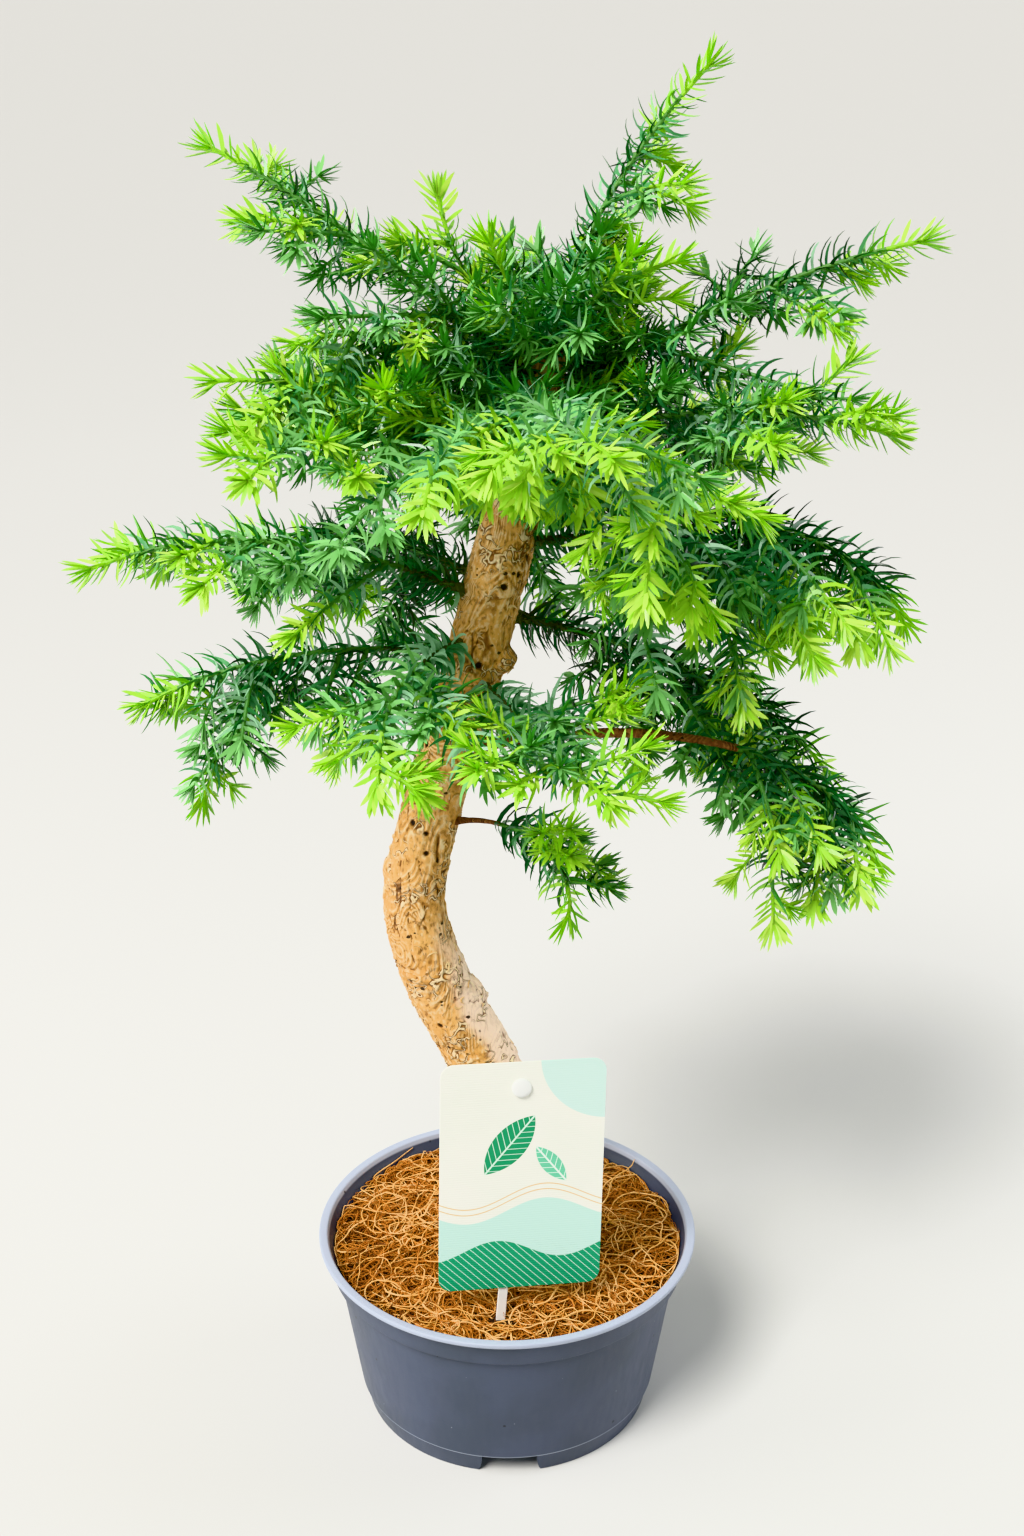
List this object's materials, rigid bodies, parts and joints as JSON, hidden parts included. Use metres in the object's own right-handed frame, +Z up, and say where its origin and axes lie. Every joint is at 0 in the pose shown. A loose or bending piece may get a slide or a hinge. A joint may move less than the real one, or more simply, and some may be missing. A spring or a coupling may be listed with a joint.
{
  "type": "hoop pine bonsai",
  "caption": "Young hoop pine trained as a bonsai: a leaning trunk and tapering boughs with needle sprays, in a round nursery pot with a plant label on a stick.",
  "frame": {"origin": "on the ground under the middle of the pot, where the box's bottom centre lies", "axes": "+Z up along the pot's axis, +X to the right seen from the label's side, +Y to the back"},
  "size_m": [0.3897, 0.3242, 0.6694],
  "materials": {
    "pot": "satin",
    "soil": "matte",
    "bark": "matte",
    "twig": "matte",
    "needles": "satin",
    "card": "satin",
    "label_plastic": "satin"
  },
  "bodies": {
    "root": {"pot": "pot", "soil": "soil", "trunk": "bark", "bough_leader": "twig", "foliage_leader": "needles", "bough_top_left": "twig", "foliage_top_left": "needles", "bough_upper_right": "twig", "foliage_upper_right": "needles", "bough_top_mid": "twig", "foliage_top_mid": "needles", "bough_top_front": "twig", "foliage_top_front": "needles", "bough_small_left": "twig", "foliage_small_left": "needles", "bough_left_upper": "twig", "foliage_left_upper": "needles", "bough_front_left": "twig", "foliage_front_left": "needles", "bough_front_mid_left": "twig", "foliage_front_mid_left": "needles", "bough_front_mid": "twig", "foliage_front_mid": "needles", "bough_mid_right": "twig", "foliage_mid_right": "needles", "bough_front_right": "twig", "foliage_front_right": "needles", "bough_back_right": "twig", "foliage_back_right": "needles", "bough_back_left": "twig", "foliage_back_left": "needles", "bough_back_top": "twig", "foliage_back_top": "needles", "bough_far_right": "twig", "foliage_far_right": "needles", "bough_front_right_mid": "twig", "foliage_front_right_mid": "needles", "bough_mid_left": "twig", "foliage_mid_left": "needles", "bough_back_mid": "twig", "foliage_back_mid": "needles", "bough_back_low_left": "twig", "foliage_back_low_left": "needles", "bough_low_left": "twig", "foliage_low_left": "needles", "bough_low_front": "twig", "foliage_low_front": "needles", "bough_low_front_right": "twig", "foliage_low_front_right": "needles", "bough_back_low_right": "twig", "foliage_back_low_right": "needles", "bough_under_right": "twig", "foliage_under_right": "needles", "bough_lowest": "twig", "foliage_lowest": "needles", "label_card": "card", "label_stick": "label_plastic", "label_pin": "label_plastic"}
  },
  "joints": []
}
